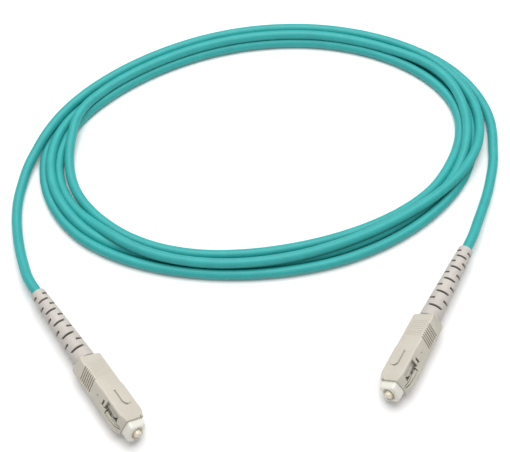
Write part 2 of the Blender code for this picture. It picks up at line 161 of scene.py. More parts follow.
# Outlines on the grip's side, along the grip and up its side
WINDOW = [(17.9, -0.4), (24.8, -0.4), (24.3, 2.65), (17.9, 2.65)]
WINDOW_FLOOR = [(17.9, -0.4), (23.6, -0.4), (23.4, 2.65), (17.9, 2.65)]
WINDOW_FLOOR_Y = 2.9
WINDOW_RIM = (0.02, 0.01)           # outside the grip: where its slope starts, its straight part ends
WINDOW_DOT = (18.3, 2.6)
WINDOW_DOT_SIZE = (0.26, 0.26)
WINDOW_DOT_DEPTH = 0.4
REAR_SLIT = [(16.2, 1.6), (16.3, -0.8), (17.35, -0.8), (17.05, 0.2), (16.85, 1.6)]
LATCH_END = [(18.95, -0.35), (19.35, -0.35), (19.45, -2.05), (18.95, -2.05)]
SLIT_DEPTH = 1.0
JOINING_SLIT = [(16.8, -0.3), (19.2, -0.42), (19.2, -0.66), (16.8, -0.6)]
JOINING_SLIT_DEPTH = 0.6
LATCH_UPPER = [(19.1, -0.38), (27.6, -0.44), (27.6, -0.86), (19.1, -0.78)]
LATCH_UPPER_DEPTH = 0.75
LATCH_LOWER = [(19.1, -1.64), (21.5, -1.64), (25.6, -1.28), (27.6, -0.4),
               (27.6, -0.95), (25.6, -1.72), (21.5, -2.06), (19.1, -2.06)]
LATCH_LOWER_DEPTH = 0.9
LATCH_BACK = ((20.6, 24.6), (3.0, 3.85), (-1.95, -0.3))     # the hollow behind the latch
GROOVES = 7
GROOVE_START = 3.75
GROOVE_PITCH = 0.87
GROOVE_W = 0.46
GROOVE_Z = (3.9, -2.3)
GROOVE_LEAN = 0.85                  # how far a groove's lower end lies ahead of its upper one
GROOVE_DEPTH = 0.42
DIMPLE = (13.45, 0.2)
DIMPLE_RIM = (0.5, 0.35)
DIMPLE_FLOOR = (0.34, 0.2)
DIMPLE_DEPTH = 0.22
DIMPLE_OVERCUT = 0.05

# Top of the grip: fine lines, the key, and the notch in its front edge
TOP_LINES = 8
TOP_LINE_X = (2.9, 3.1)
TOP_LINE_PITCH = 0.8
TOP_LINE_Y = (-3.2, 3.2)
TOP_LINE_DEPTH = 0.07
TOP_CUT_Z = 4.5
KEY_X = (15.3, 21.3)
KEY_Y = (-0.45, 2.9)
KEY_TOP = 0.3
KEY_ROOT = 0.4                      # how far the key reaches down into the grip
KEY_LINE = (0.48, 0.42)             # width and depth of the groove along the key's near edge
KEY_LINE_TOP = 0.6
NOTCH_X = (26.5, 28)
NOTCH_Y = (2.0, 2.5)
NOTCH_Z = 2.4

# Painted shade on the grip, by position: 1 outside, less inside the cuts, where shade falls
SKIN = (0.22, 0.5)                  # below the side and below the top
SKIN_X = (0.3, 26.95)
TAPER_FROM = 24.1
TAPER_SLOPE = 0.38
WINDOW_OPEN_X = (17.85, 24.9)
WINDOW_OPEN_Z = (-0.35, 2.7)
GROOVES_END = 11.0
GROOVE_PAINTED_LIGHT = 0.84
SLIT_PAINTED_LIGHT = 0.3

# Plug frame and ferrule
FRAME_HALF = 3.0
FRAME_STATIONS = [(15.6, 6.0, 5.5, 0.9), (29.3, 6.0, 5.5, 0.9), (29.9, 5.86, 5.36, 0.9),
                  (30.25, 5.5, 5.0, 0.8), (30.4, 4.9, 4.6, 0.6)]
FRAME_BEVEL = 0.05
BARREL_X = (9.2, 16.2)
BARREL_D = 4.5
FRAME_BORE = [(8.2, 0), (8.2, 3.9), (20.8, 3.9), (20.8, 2.9), (29.3, 2.9), (29.4, 3.9),
              (29.9, 4.1), (30.2, 4.3), (30.5, 4.6), (31.2, 4.7), (31.2, 0)]
FRAME_RECESS = [(17.8, -0.1), (24.9, -0.1), (24.9, 1.6), (17.8, 1.6)]
FRAME_RECESS_DEPTH = 0.08
FRAME_NOTCH = [(21.0, -1.9), (23.9, -1.9), (23.3, 0.25)]
FRAME_NOTCH_DEPTH = 0.7
FRAME_NOTCH_PAINTED_LIGHT = 0.3
FRAME_NOTCH_SHADE = ((20.9, 24), 2.9, 0.3)      # painted shade between these x, inside y and below z
FRAME_SLANT_FROM = 28.7             # ahead of this the front leans, its lower edge leading
FRAME_SLANT = 0.17
FERRULE = [(19.3, 2.2), (19.6, 2.5), (30.7, 2.5), (30.95, 2.4), (31.12, 2.16), (31.2, 1.85),
           (31.2, 0.3), (19.3, 0.3)]

# Spring behind the ferrule's flange
SPRING_D = 3.0                      # mean
SPRING_WIRE_D = 0.45
SPRING_X = (12.6, 16.9)
SPRING_TURNS = 4.5
SPRING_STEPS = 24                   # in each turn
SPRING_SIDES = 10

# Boot
BOOT_D = (5.0, 7.1)
BOOT_BORE_D = 3.7
BOOT_SEAT = (-3.0, 4.8)
BOOT_TURN = 42.0
BOOT_SIDES = 96
BOOT_STRAIGHT = 1.5                 # the length at the grip that doesn't taper
BOOT_ROUNDING = (0.45, 0.3)         # at the cord's end and at the grip
# Painted shade inside the boot's bore
BOOT_BORE_PAINTED_LIGHT = 0.6
BOOT_CORD_RINGS = (0, 0.04, 0.14, 0.28, 0.45)       # distances from the cord's end
BOOT_GRIP_RINGS = (0.3, 0.1, 0)                     # distances from the grip's end
SLOT_HALVES = 10
SLOT_FIRST = 4.75
SLOT_PITCH = 4.75
SLOT_GROWTH = 0.18
SLOT_W = 0.74
SLOT_FLOOR_D = 4.0
SLOT_HALF_ANGLE = (60.0, 45.0)      # slots at the sides, slots at the top and bottom
SLOT_END_ANGLE = 4                  # over which a slot's end runs out
SLOT_PROFILE = [(0.3, 0), (0.1, 0), (0, 0.07), (-0.03, 0.3), (-0.07, 1)]    # from the edge, depth
# Painted shade on the slots' floors, where shade falls
SLOT_PAINTED_SHADE = 0.78
SLOT_SHADE_GAIN = 1.6                # how much faster than its depth a slot's painted shade deepens

# Colours, linear
AQUA = (0.02, 0.36, 0.35)
PUTTY = (0.555, 0.52, 0.445)
PUTTY_SHADOW = (0.07, 0.058, 0.04)
WHITE = (0.74, 0.725, 0.65)
WHITE_SHADOW = (0.09, 0.085, 0.06)
ZIRCONIA = (0.74, 0.67, 0.52)
BOOT_GREY = (0.515, 0.48, 0.442)
BOOT_SHADOW = (0.10, 0.082, 0.068)
NICKEL = (0.62, 0.6, 0.56)
SPRING_STEEL = (0.55, 0.55, 0.56)
TUBE_WHITE = (0.85, 0.86, 0.86)
BUFFER_AQUA = (0.08, 0.47, 0.47)
ARAMID_YELLOW = (0.78, 0.58, 0.1)
SILICA = (0.8, 0.84, 0.88)

# Surface detail that every material shares
DRIFT_SCALE = 160                   # waves of slow colour drift in a metre
DRIFT_RANGE = (0.3, 0.7)
SPECKLE_STRENGTH = 3                # times the colour's spread
SPECKLE_SCALE = 0.6                 # times the grain's scale
SMUDGE_SCALE = 0.3                  # times the grain's scale
ROUGHNESS_SPREAD = 0.07
GRAIN_HEIGHT = 0.00004              # metres

# Floor and lights, in metres and watts
FLOOR_COLOUR = (0.93, 0.93, 0.93)
FLOOR_HALF = 2.0
WORLD_STRENGTH = 0.38
LAMPS = [
    ("overhead", (0.0, 0.22, 0.7), 0.8, 6.5),
    ("front_fill", (0.1, -0.6, 0.6), 0.5, 0.15),
]
LAMPS_AIM = (0, 0.05, 0)


# ---------------------------------------------------------------- camera

def make_camera():
    data = bpy.data.cameras.new("camera")
    data.lens = LENS
    data.sensor_width = SENSOR_WIDTH
    data.sensor_fit = "HORIZONTAL"
    camera = bpy.data.objects.new("camera", data)
    bpy.context.scene.collection.objects.link(camera)
    tilt = radians(LOOK_ELEVATION)
    back = Vector((0, -cos(tilt), sin(tilt)))
    camera.location = (LOOK_AT + back * LOOK_DISTANCE) * MM
    camera.rotation_euler = (radians(90 - LOOK_ELEVATION), 0, 0)
    bpy.context.scene.camera = camera


# ---------------------------------------------------------------- placing

def rest_height(roll):
    """Height of a connector's axis when its turned grip rests on the surface."""
    w, h = GRIP_FRONT[0] / 2, GRIP_FRONT[1] / 2
    lean = abs(radians(roll))
    corners = [(w - GRIP_CHAMFER, h), (w, h - GRIP_CHAMFER)]
    return max(y * sin(lean) + z * cos(lean) for y, z in corners)


def placing(suffix):
    """Matrix from a connector's own frame to the surface, both in millimetres."""
    place = CONNECTORS[suffix]
    spot = Matrix.Translation(Vector((*place["rear"], rest_height(place["roll"]))))
    heading = Matrix.Rotation(radians(place["heading"]), 4, "Z")
    roll = Matrix.Rotation(radians(place["roll"]), 4, "X")
    return spot @ heading @ roll


def outer_side(suffix):
    """The side of the connector, along its Y, that its roll turns up."""
    return 1 if CONNECTORS[suffix]["roll"] > 0 else -1


# ---------------------------------------------------------------- cord

def coil_point(angle, outside, height):
    a, b = COIL_SEMI_AXES
    turn = radians(angle)
    on_line = Vector((a * cos(turn), b * sin(turn), 0))
    outward = Vector((b * cos(turn), a * sin(turn), 0)).normalized()
    flat = Matrix.Rotation(COIL_TILT, 4, "Z") @ (on_line + outward * outside)
    return Vector((flat.x + COIL_CENTRE[0], flat.y + COIL_CENTRE[1], height))


def coil_knots():
    """The coil's knots with the angle unwound, so that it falls all the way along."""
    knots = []
    for number, turn in enumerate(TURNS):
        knots += [(angle - 360 * number, outside, height) for angle, outside, height in turn]
    return knots


def coil_route():
    """Points along the coil, the knots' distances and heights eased between them by angle."""
    knots = np.array(coil_knots())
    falling = -knots[:, 0]
    slopes = np.gradient(knots[:, 1:], falling, axis=0)
    points = []
    for angle in np.arange(knots[0, 0], knots[-1, 0], -COIL_ANGLE_STEP):
        place = min(int(np.searchsorted(falling, -angle, side="right")) - 1, len(knots) - 2)
        span = falling[place + 1] - falling[place]
        t = (-angle - falling[place]) / span
        start, end = knots[place, 1:], knots[place + 1, 1:]
        leaving, arriving = slopes[place], slopes[place + 1]
        value = ((2 * t**3 - 3 * t**2 + 1) * start + (t**3 - 2 * t**2 + t) * span * leaving
                 + (3 * t**2 - 2 * t**3) * end + (t**3 - t**2) * span * arriving)
        points.append(coil_point(angle, value[0], value[1]))
    return points


def spline_through(points, step):
    """Points a step apart along the Catmull-Rom curve through the given points."""
    knots = [2 * points[0] - points[1]] + points + [2 * points[-1] - points[-2]]
    fine = [points[0]]
    for before, start, end, after in zip(knots, knots[1:], knots[2:], knots[3:]):
        count = max(2, round((end - start).length / FINE_STEP))
        for k in range(1, count + 1):
            t = k / count
            linear = (end - before) * t
            square = (2 * before - 5 * start + 4 * end - after) * t ** 2
            cube = (3 * start - before - 3 * end + after) * t ** 3
            fine.append((2 * start + linear + square + cube) / 2)
    return resampled(np.array(fine), step)


def resampled(points, step):
    lengths = np.concatenate([[0], np.cumsum(np.linalg.norm(np.diff(points, axis=0), axis=1))])
    count = max(2, int(round(lengths[-1] / step)))
    at = np.linspace(0, lengths[-1], count + 1)
    return np.stack([np.interp(at, lengths, points[:, k]) for k in range(3)], axis=1)


def smoothed(values, width):
    """Values averaged along the first axis with a bell-shaped window."""
    reach = int(3 * width)
    window = np.exp(-0.5 * (np.arange(-reach, reach + 1) / width) ** 2)
    window /= window.sum()
    padded = np.pad(values, ((reach, reach), (0, 0)), mode="edge")
    columns = [np.convolve(column, window, mode="valid") for column in padded.T]
    return np.stack(columns, axis=1)


def near_pairs(points, reach, apart):
    """Pairs of points that lie within reach of each other but well apart along the cord."""
    firsts, seconds = [], []
    for first in range(0, len(points) - apart):
        rest = points[first + apart:]
        close = np.nonzero(np.abs(rest - points[first]).max(axis=1) < reach)[0]
        firsts.append(np.full(len(close), first))
        seconds.append(close + first + apart)
    return np.concatenate(firsts), np.concatenate(seconds)


def push_apart(points, first, second):
    """How each point moves when turns that overlap push apart, the higher one moving more."""
    gap = points[first] - points[second]
    distance = np.maximum(np.linalg.norm(gap, axis=1), 1e-6)
    push = np.maximum(CONTACT - distance, 0)[:, None] * gap / distance[:, None] * PUSH
    share = 0.5 + UPPER_SHARE * np.clip(gap[:, 2:] / UPPER_REACH, -1, 1)
    move = np.zeros_like(points)
    np.add.at(move, first, push * share)
    np.add.at(move, second, push * (share - 1))
    return np.clip(move, -LONGEST_PUSH, LONGEST_PUSH)


def settle(start):
    """Let the turns push apart and sink until they rest on the surface and on each other."""
    points = start.copy()
    order = np.arange(len(points))
    hold = np.clip(np.minimum(order, order[::-1]) / HELD_POINTS, 0, 1)[:, None]
    for turn in range(SETTLE_ROUNDS):
        if turn % SEARCH_ROUNDS == 0:
            first, second = near_pairs(points, CORD_D + SEARCH_MARGIN, SEARCH_APART)
        sinking = turn < SETTLE_ROUNDS - LEVEL_ROUNDS
        if sinking:
            points[:, 2] -= SINK * hold[:, 0]
        for _ in range(PUSHES):
            points += push_apart(points, first, second) * hold
        points[:, 2] = np.maximum(points[:, 2], GROUND)
        shift = points - start
        share = SMOOTH_SHARE if sinking else LEVEL_SMOOTH_SHARE
        points = start + shift * (1 - share) + smoothed(shift, SMOOTH_WIDTH) * share
        points[:, 2] = np.maximum(points[:, 2], GROUND)
    return points


def cord_end(suffix, x):
    return placing(suffix) @ Vector((x, 0, 0))


def cord_line(points):
    """A smooth curve through the points, still without thickness."""
    curve = bpy.data.curves.new("cord_line", "CURVE")
    curve.dimensions = "3D"
    curve.bevel_resolution = CORD_RING_RESOLUTION
    curve.resolution_u = CORD_LINE_RESOLUTION
    curve.use_fill_caps = True
    spline = curve.splines.new("BEZIER")
    spline.bezier_points.add(len(points) - 1)
    for knot, point in zip(spline.bezier_points, points):
        knot.co = Vector(point) * MM
        knot.handle_left_type = "AUTO"
        knot.handle_right_type = "AUTO"
    return bpy.data.objects.new("cord_line", curve)


def make_cord(look):
    """The whole cord, from boot to boot, as one tube."""
    near, far = (BOOT_X[0] - distance for distance in LEAD_STRAIGHT)
    route = [cord_end("a", near), cord_end("a", far)] + [Vector(point) for point in LEAD_A]
    route += coil_route()
    route += [Vector(point) for point in LEAD_B] + [cord_end("b", far), cord_end("b", near)]
    fine = settle(spline_through(route, SETTLE_STEP))
    line = cord_line(resampled(fine, CORD_STEP))
    path = [tuple(vert.co) for vert in bpy.data.meshes.new_from_object(line).vertices]
    line.data.bevel_depth = CORD_D / 2 * MM
    mesh = bpy.data.meshes.new_from_object(line)
    bpy.data.objects.remove(line)
    mesh.shade_smooth()
    mesh.materials.clear()
    mesh.materials.append(look)
    cord = bpy.data.objects.new("cord", mesh)
    bpy.context.scene.collection.objects.link(cord)
    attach(cord, "cord")
    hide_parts("cable_lead_a", "cable_coil", "cable_lead_b")


# ---------------------------------------------------------------- mesh helpers

def ring_of(bm, x, diameter, sides):
    """A ring across the X axis, or a single point where the diameter is 0."""
    if diameter == 0:
        return [bm.verts.new((x, 0, 0))]
    turns = [2 * pi * k / sides for k in range(sides)]
    radius = diameter / 2
    return [bm.verts.new((x, radius * cos(turn), radius * sin(turn))) for turn in turns]


def rounded_section(bm, x, width, height, radius):
    """A rectangle across the X axis with its corners rounded."""
    verts = []
    for corner, (side, top) in enumerate([(1, 1), (-1, 1), (-1, -1), (1, -1)]):
        y, z = side * (width / 2 - radius), top * (height / 2 - radius)
        for step in range(CORNER_POINTS):
            turn = radians(90 * (corner + step / (CORNER_POINTS - 1)))
            verts.append(bm.verts.new((x, y + radius * cos(turn), z + radius * sin(turn))))
    return verts


def bridge(bm, near, far):
    """Faces between two closed rings, either of which may be a single point."""
    for k in range(max(len(near), len(far))):
        here, there = near[k % len(near)], far[k % len(far)]
        loop = [here, near[(k + 1) % len(near)], far[(k + 1) % len(far)], there]
        bm.faces.new(list(dict.fromkeys(loop)))


def skin(bm, rings):
    """Faces along a row of rings and over its two ends."""
    for near, far in zip(rings, rings[1:]):
        bridge(bm, near, far)
    bm.faces.new(rings[0])
    bm.faces.new(rings[-1])


def finished(bm, name):
    bmesh.ops.recalc_face_normals(bm, faces=bm.faces)
    mesh = bpy.data.meshes.new(name)
    bm.to_mesh(mesh)
    bm.free()
    return mesh


def lofted(name, stations):
    """A block through rounded rectangles, each given by its x, width, height and radius."""
    bm = bmesh.new()
    skin(bm, [rounded_section(bm, *station) for station in stations])
    return finished(bm, name)


def turned(name, outline):
    """Turn an outline of (x, diameter) about X; off the axis, the outline closes on itself."""
    bm = bmesh.new()
    rings = [ring_of(bm, x, diameter, TURNED_SIDES) for x, diameter in outline]
    for near, far in zip(rings, rings[1:]):
        bridge(bm, near, far)
    if outline[0][1] > 0:
        bridge(bm, rings[-1], rings[0])
    return finished(bm, name)


def side_cuts(name, cuts):
    """Prisms into both sides: each cut has an outer and an inner outline, and where each lies."""
    bm = bmesh.new()
    for outer, inner, far, near in cuts:
        for side in (-1, 1):
            skin(bm, [[bm.verts.new((x, side * y, z)) for x, z in outline]
                      for outline, y in ((outer, far), (inner, near))])
    return finished(bm, name)


def side_slots(name, outlines, far, near):
    """Straight-walled cuts into both sides."""
    return side_cuts(name, [(outline, outline, far, near) for outline in outlines])


def top_prism(name, outline, outward, heights):
    """An upright prism over an outline of (x, distance to the connector's near side)."""
    bm = bmesh.new()
    skin(bm, [[bm.verts.new((x, -outward * y, z)) for x, y in outline] for z in heights])
    return finished(bm, name)


def boxes(name, spans):
    bm = bmesh.new()
    for x, y, z in spans:
        corners = [Vector((a, b, c)) for a in x for b in y for c in z]
        verts = [bm.verts.new(corner) for corner in corners]
        for face in ((0, 1, 3, 2), (4, 6, 7, 5), (0, 4, 5, 1),
                     (2, 3, 7, 6), (0, 2, 6, 4), (1, 5, 7, 3)):
            bm.faces.new([verts[k] for k in face])
    return finished(bm, name)


def carved(name, mesh, steps, bevel):
    """The mesh after each Boolean step and a small bevel on its edges."""
    scene = bpy.context.scene.collection
    work = bpy.data.objects.new(name + "_work", mesh)
    scene.objects.link(work)
    tools = []
    for number, (operation, tool_mesh) in enumerate(steps):
        tool = bpy.data.objects.new(f"{name}_tool_{number}", tool_mesh)
        scene.objects.link(tool)
        tools.append(tool)
        modifier = work.modifiers.new(tool.name, "BOOLEAN")
        modifier.operation = operation
        modifier.solver = "EXACT"
        modifier.object = tool
    modifier = work.modifiers.new("edges", "BEVEL")
    modifier.width = bevel
    modifier.segments = 2
    modifier.limit_method = "ANGLE"
    modifier.angle_limit = radians(BEVEL_ANGLE)
    bpy.context.view_layer.update()
    evaluated = work.evaluated_get(bpy.context.evaluated_depsgraph_get())
    result = bpy.data.meshes.new_from_object(evaluated)
    for extra in tools + [work]:
        bpy.data.objects.remove(extra)
    return result


def add_piece(name, mesh, suffix, body, node, look, sharp=SHARP_ANGLE):
    """Place a connector's mesh in the scene, attach it to its body and hide the CAD node it replaces.
    """
    mesh.transform(Matrix.Scale(MM, 4) @ placing(suffix))
    mesh.shade_smooth()
    mesh.set_sharp_from_angle(angle=radians(sharp))
    piece = bpy.data.objects.new(name, mesh)
    bpy.context.scene.collection.objects.link(piece)
    mesh.materials.clear()
    mesh.materials.append(look)
    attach(piece, body)
    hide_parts(node)
    return piece


def shade_points(mesh, shade_at):
    """Store how open each point of the mesh is to the light, from 0 to 1, for the painted shade in
    its material.
    """
    layer = mesh.attributes.new("open", "FLOAT", "POINT")
    for vert, item in zip(mesh.vertices, layer.data):
        item.value = shade_at(vert.co)


# ---------------------------------------------------------------- grip

def arc_points(middle, radius, angles):
    turns = [radians(angle) for angle in angles]
    return [(middle[0] + radius * cos(turn), middle[1] + radius * sin(turn)) for turn in turns]


def key_front():
    """Centre and radius of the key's rounded front end."""
    radius = (KEY_Y[1] - KEY_Y[0]) / 2
    return (KEY_X[1] - radius, (KEY_Y[0] + KEY_Y[1]) / 2), radius


def key_mesh(outward):
    """Raised key on the top face, its front end rounded, leaning to the far side."""
    middle, radius = key_front()
    start, top = KEY_X[0], GRIP_FRONT[1] / 2
    outline = [(start, KEY_Y[1]), (start, KEY_Y[0])]
    outline += arc_points(middle, radius, range(-90, 91, 15))
    return top_prism("key", outline, outward, (top - KEY_ROOT, top + KEY_TOP))


def key_line(outward):
    """Groove that follows the key's near edge and turns in along its rounded front end."""
    width, depth = KEY_LINE
    middle, radius = key_front()
    start, top = KEY_X[0], GRIP_FRONT[1] / 2
    angles = range(-90, -9, 10)
    inner = arc_points(Vector(middle), radius, angles)
    outer = arc_points(Vector(middle), radius + width, angles)
    outline = [(start, KEY_Y[0])] + inner + outer[::-1] + [(start, KEY_Y[0] - width)]
    return top_prism("key_line", outline, outward, (top - depth, top + KEY_LINE_TOP))


def rear_facets():
    """Wedges that shave the rear of each side along a slanting line."""
    root, front, outside = FACET_Y
    bm = bmesh.new()
    for side in (-1, 1):
        rings = []
        for z, edge in FACET_ENDS:
            inner = root - FACET_SLOPE * (edge - FACET_X)
            corners = [(edge, front), (FACET_X, inner), (FACET_X, outside), (edge, outside)]
            rings.append([bm.verts.new((x, side * y, z)) for x, y in corners])
        skin(bm, rings)
    return finished(bm, "facets")


def oval(middle, size):
    turns = [2 * pi * k / OVAL_POINTS for k in range(OVAL_POINTS)]
    return [(middle[0] + size[0] * cos(turn), middle[1] + size[1] * sin(turn)) for turn in turns]


def groove_outlines():
    """The grip grooves on a side, from the rear."""
    top, foot = GROOVE_Z
    outlines = []
    for k in range(GROOVES):
        x = GROOVE_START + k * GROOVE_PITCH
        outlines.append([(x, top), (x + GROOVE_W, top),
                         (x + GROOVE_W + GROOVE_LEAN, foot), (x + GROOVE_LEAN, foot)])
    return outlines


def top_line_boxes():
    heights = (GRIP_REAR[1] / 2 - TOP_LINE_DEPTH, TOP_CUT_Z)
    return [(tuple(x + TOP_LINE_PITCH * k for x in TOP_LINE_X), TOP_LINE_Y, heights)
            for k in range(TOP_LINES)]


def latch_back_boxes():
    x, y, z = LATCH_BACK
    return [(x, tuple(sorted(side * edge for edge in y)), z) for side in (-1, 1)]


def grip_tools(outward):
    """Boolean steps for a grip, in order."""
    half = GRIP_FRONT[0] / 2
    rear_half = GRIP_REAR[0] / 2
    far = half + OVERCUT
    dimple = (oval(DIMPLE, DIMPLE_RIM), oval(DIMPLE, DIMPLE_FLOOR),
              rear_half + DIMPLE_OVERCUT, rear_half - DIMPLE_DEPTH)
    notch_y = sorted(-outward * y for y in NOTCH_Y)
    cuts = [
        key_line(outward),
        rear_facets(),
        lofted("cavity", [(x, *CAVITY) for x in CAVITY_X]),
        turned("bore", [(REAR_BORE_X[0], 0), (REAR_BORE_X[0], REAR_BORE_D),
                        (REAR_BORE_X[1], REAR_BORE_D), (REAR_BORE_X[1], 0)]),
        boxes("backs", latch_back_boxes()),
        side_cuts("window", [(WINDOW, WINDOW_FLOOR, half + WINDOW_RIM[0], WINDOW_FLOOR_Y)]),
        side_slots("window_outer", [WINDOW], far, half + WINDOW_RIM[1]),
        side_slots("slits", [REAR_SLIT, LATCH_END], far, half - SLIT_DEPTH),
        side_slots("joining", [JOINING_SLIT], far, half - JOINING_SLIT_DEPTH),
        side_slots("upper", [LATCH_UPPER], far, half - LATCH_UPPER_DEPTH),
        side_slots("lower", [LATCH_LOWER], far, half - LATCH_LOWER_DEPTH),
        side_slots("dot", [oval(WINDOW_DOT, WINDOW_DOT_SIZE)], far, half - WINDOW_DOT_DEPTH),
        side_slots("grooves", groove_outlines(), far, rear_half - GROOVE_DEPTH),
        side_cuts("dimple", [dimple]),
        boxes("lines", top_line_boxes()),
        boxes("notch", [(NOTCH_X, notch_y, (NOTCH_Z, TOP_CUT_Z))]),
    ]
    return [("UNION", key_mesh(outward))] + [("DIFFERENCE", cut) for cut in cuts]


def grip_painted_light(point):
    """Painted shade: darker inside the slits and the cavity, where shade falls in the narrow gaps."""
    x, y, z = point
    side = GRIP_FRONT[0] / 2 - SKIN[0] - max(0.0, x - TAPER_FROM) * TAPER_SLOPE
    top = GRIP_FRONT[1] / 2 - SKIN[1]
    inside = abs(y) < side and abs(z) < top and SKIN_X[0] < x < SKIN_X[1]
    if not inside:
        return 1.0
    if WINDOW_OPEN_X[0] < x < WINDOW_OPEN_X[1] and WINDOW_OPEN_Z[0] < z < WINDOW_OPEN_Z[1]:
        return 1.0
    return GROOVE_PAINTED_LIGHT if x < GROOVES_END else SLIT_PAINTED_LIGHT


def make_grip(suffix, look):
    block = lofted("grip_block", GRIP_STATIONS)
    mesh = carved("grip", block, grip_tools(outer_side(suffix)), EDGE_BEVEL)
    shade_points(mesh, grip_painted_light)
    add_piece(f"grip_shell_{suffix}", mesh, suffix, f"grip_{suffix}", f"grip_housing_{suffix}",
              look)


# ---------------------------------------------------------------- plug frame, ferrule, spring

def frame_painted_light(point):
    """Painted shade: darker inside the notch in each side."""
    x, y, z = point
    (rear, front), side, top = FRAME_NOTCH_SHADE
    in_notch = rear < x < front and abs(y) < side and z < top
    return FRAME_NOTCH_PAINTED_LIGHT if in_notch else 1.0


def make_plug_frame(suffix, look):
    far = FRAME_HALF + OVERCUT
    rear, front = BARREL_X
    barrel = turned("barrel", [(rear, 0), (rear, BARREL_D), (front, BARREL_D), (front, 0)])
    steps = [
        ("UNION", barrel),
        ("DIFFERENCE", turned("frame_bore", FRAME_BORE)),
        ("DIFFERENCE", side_slots("recess", [FRAME_RECESS], far, FRAME_HALF - FRAME_RECESS_DEPTH)),
        ("DIFFERENCE", side_slots("notch", [FRAME_NOTCH], far, FRAME_HALF - FRAME_NOTCH_DEPTH)),
    ]
    mesh = carved("frame", lofted("frame_block", FRAME_STATIONS), steps, FRAME_BEVEL)
    for vert in mesh.vertices:
        if vert.co.x > FRAME_SLANT_FROM:
            vert.co.x -= FRAME_SLANT * vert.co.z * (vert.co.x - FRAME_SLANT_FROM)
    shade_points(mesh, frame_painted_light)
    add_piece(f"plug_nose_{suffix}", mesh, suffix, "cord", f"plug_frame_{suffix}",
              look)


def make_ferrule(suffix, look):
    add_piece(f"ferrule_tip_{suffix}", turned("ferrule", FERRULE), suffix,
              f"ferrule_core_{suffix}", f"ferrule_{suffix}", look)


def spring_mesh():
    """A helical wire around X, closed at both ends."""
    bm = bmesh.new()
    steps = int(SPRING_TURNS * SPRING_STEPS)
    start = SPRING_X[0] + SPRING_WIRE_D / 2
    reach = SPRING_X[1] - SPRING_X[0] - SPRING_WIRE_D
    along = Vector((1, 0, 0))
    rings = []
    for step in range(steps + 1):
        turn = 2 * pi * step / SPRING_STEPS
        outward = Vector((0, cos(turn), sin(turn)))
        centre = along * (start + reach * step / steps) + outward * (SPRING_D / 2)
        ring = []
        for side in range(SPRING_SIDES):
            around = 2 * pi * side / SPRING_SIDES
            spoke = outward * cos(around) + along * sin(around)
            ring.append(bm.verts.new(centre + spoke * (SPRING_WIRE_D / 2)))
        rings.append(ring)
    skin(bm, rings)
    return finished(bm, "spring")


def make_spring(suffix, look):
    """The spring behind the ferrule's flange, a fixed helix on a mesh of its own; the real spring
    shortens as the ferrule goes back.
    """
    piece = add_piece(f"spring_coil_{suffix}", spring_mesh(), suffix, "cord",
                      f"spring_{suffix}", look)
    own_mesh(piece)


# ---------------------------------------------------------------- boot

def boot_radius(along):
    """Outer radius a distance from the boot's cord end, both ends rounded."""
    length = BOOT_X[1] - BOOT_X[0]
    share = min(1.0, along / (length - BOOT_STRAIGHT))
    radius = (BOOT_D[0] + (BOOT_D[1] - BOOT_D[0]) * share) / 2
    for reach, rounding in zip((along, length - along), BOOT_ROUNDING):
        if reach < rounding:
            radius -= rounding - (rounding ** 2 - (rounding - reach) ** 2) ** 0.5
    return radius


def boot_stations():
    """Distances along the boot, each with the kind of slot it lies in and how deep that is."""
    length = BOOT_X[1] - BOOT_X[0]
    stations = [(along, None, 0) for along in BOOT_CORD_RINGS]
    stations += [(length - back, None, 0) for back in BOOT_GRIP_RINGS]
    for number in range(SLOT_HALVES):
        step = number / 2 - 0.5
        middle = SLOT_FIRST + SLOT_PITCH * step + SLOT_GROWTH * step * step
        for side in (-1, 1):
            edge = middle + side * SLOT_W / 2
            stations += [(edge + side * beyond, number % 2 if depth else None, depth)
                         for beyond, depth in SLOT_PROFILE]
    return sorted(stations, key=lambda station: station[0])


def slot_amount(degrees_round, kind, depth):
    """How far the surface has gone from the boot's outside to a slot's floor, from 0 to 1."""
    if kind is None:
        return 0.0
    middle = 90.0 * kind
    away = abs((degrees_round - middle + 90) % 180 - 90)
    return depth * min(1.0, max(0.0, (SLOT_HALF_ANGLE[kind] - away) / SLOT_END_ANGLE + 0.5))


def make_boot(suffix, look):
    """Tapered sleeve with slots cut in turn at its sides and at its top and bottom."""
    bm = bmesh.new()
    painted_light_layer = bm.verts.layers.float.new("open")
    turn_offset = -radians(BOOT_TURN) * outer_side(suffix)
    rings = []
    for along, kind, depth in boot_stations():
        ring = []
        for k in range(BOOT_SIDES):
            degrees_round = 360 * k / BOOT_SIDES
            amount = slot_amount(degrees_round, kind, depth)
            radius = boot_radius(along)
            radius += (SLOT_FLOOR_D / 2 - radius) * amount
            turn = radians(degrees_round) + turn_offset
            vert = bm.verts.new((BOOT_X[0] + along, radius * cos(turn), radius * sin(turn)))
            # painted shade: darker the deeper the slot
            vert[painted_light_layer] = 1 - SLOT_PAINTED_SHADE * min(1.0, amount * SLOT_SHADE_GAIN)
            ring.append(vert)
        rings.append(ring)
    seat, seat_d = BOOT_SEAT
    bore = [(BOOT_X[1], seat_d), (seat, seat_d), (seat, BOOT_BORE_D), (BOOT_X[0], BOOT_BORE_D)]
    for x, diameter in bore:
        ring = ring_of(bm, x, diameter, BOOT_SIDES)
        # painted shade over the whole bore
        for vert in ring:
            vert[painted_light_layer] = BOOT_BORE_PAINTED_LIGHT
        rings.append(ring)
    for near, far in zip(rings, rings[1:] + rings[:1]):
        bridge(bm, near, far)
    add_piece(f"boot_sleeve_{suffix}", finished(bm, "boot"), suffix, "cord", f"boot_{suffix}",
              look, sharp=BOOT_SHARP_ANGLE)


# ---------------------------------------------------------------- materials

def node_in(material, kind, **settings):
    node = material.node_tree.nodes.new(kind)
    for name, value in settings.items():
        setattr(node, name, value)
    return node


